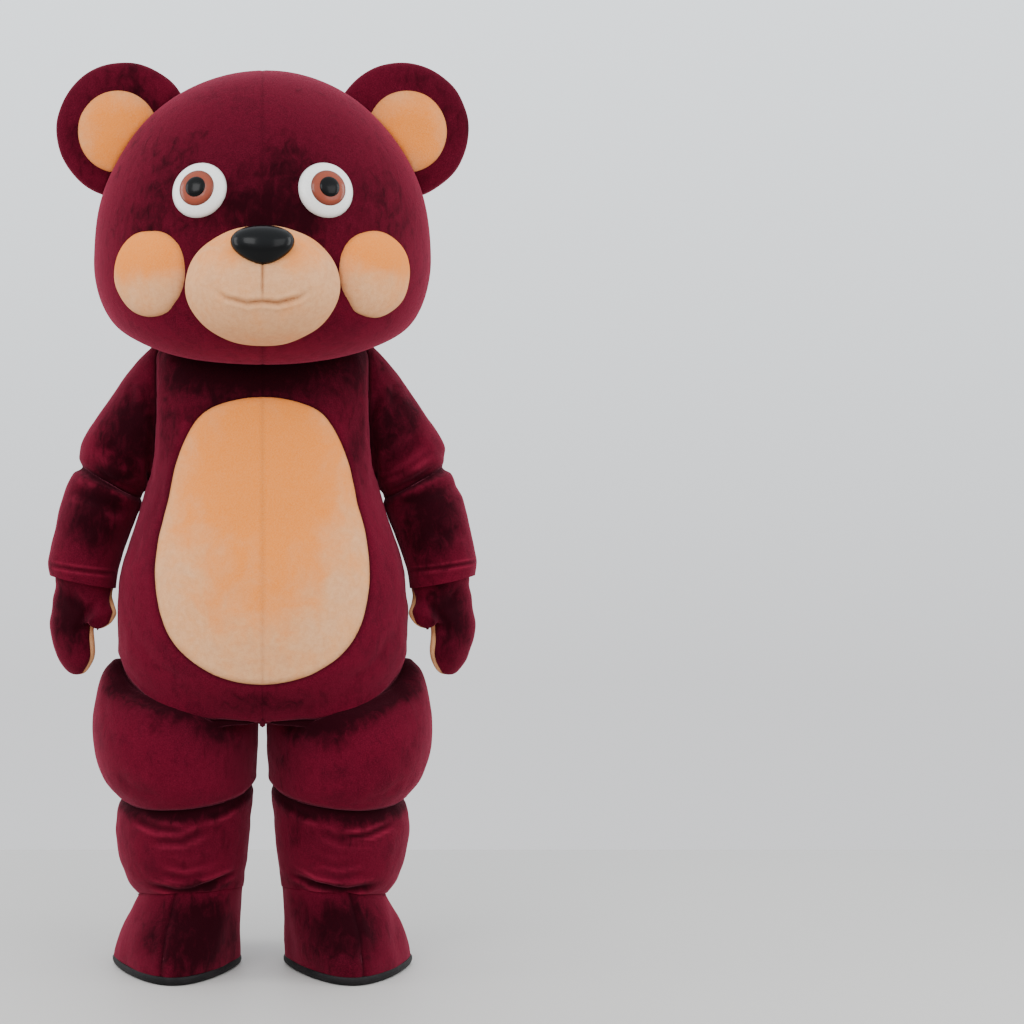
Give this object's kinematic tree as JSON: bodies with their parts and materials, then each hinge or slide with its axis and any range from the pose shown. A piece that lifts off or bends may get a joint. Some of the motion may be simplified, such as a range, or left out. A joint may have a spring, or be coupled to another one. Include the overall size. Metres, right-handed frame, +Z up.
{
  "type": "bear mascot costume",
  "caption": "Worn full-body bear mascot costume, standing filled out but empty: big plush head shell, suit with puffed thighs and tan belly, mitten gloves and soft boots, open to a wearer.",
  "frame": {"origin": "between the wearer's shoulders, inside the neck of the suit, 1.350 m above the soles", "axes": "+Z up along the body, -Y the way the face and belly look, +X to the wearer's left"},
  "size_m": [0.935, 0.816, 1.967],
  "materials": {
    "plush": "dark red crushed velour with a short nap",
    "tan_plush": "tan short-pile plush",
    "sole_rubber": "matt black",
    "black_gloss": "gloss",
    "white_gloss": "gloss",
    "brown_gloss": "gloss"
  },
  "bodies": {
    "root": {"back_left": "plush", "back_right": "plush", "belly_left": "tan_plush", "belly_right": "tan_plush", "boot_quarter_left": "plush", "boot_quarter_right": "plush", "boot_sole_left": "sole_rubber", "boot_sole_right": "sole_rubber", "boot_vamp_left": "plush", "boot_vamp_right": "plush", "cheek_left": "tan_plush", "cheek_right": "tan_plush", "crotch_gusset": "plush", "ear_left": "plush", "ear_lining_left": "tan_plush", "ear_lining_right": "tan_plush", "ear_right": "plush", "eye_iris_left": "brown_gloss", "eye_iris_right": "brown_gloss", "eye_pupil_left": "black_gloss", "eye_pupil_right": "black_gloss", "eye_white_left": "white_gloss", "eye_white_right": "white_gloss", "forearm_left": "plush", "forearm_right": "plush", "front_left": "plush", "front_right": "plush", "head_back_left": "plush", "head_back_right": "plush", "head_front_left": "plush", "head_front_right": "plush", "head_side_left": "plush", "head_side_right": "plush", "mitten_back_left": "plush", "mitten_back_right": "plush", "mitten_palm_left": "tan_plush", "mitten_palm_right": "tan_plush", "muzzle": "tan_plush", "nose": "black_gloss", "seat_left": "plush", "seat_right": "plush", "shin_left": "plush", "shin_right": "plush", "tail": "plush", "thigh_left": "plush", "thigh_right": "plush", "upper_sleeve_left": "plush", "upper_sleeve_right": "plush"}
  },
  "joints": []
}
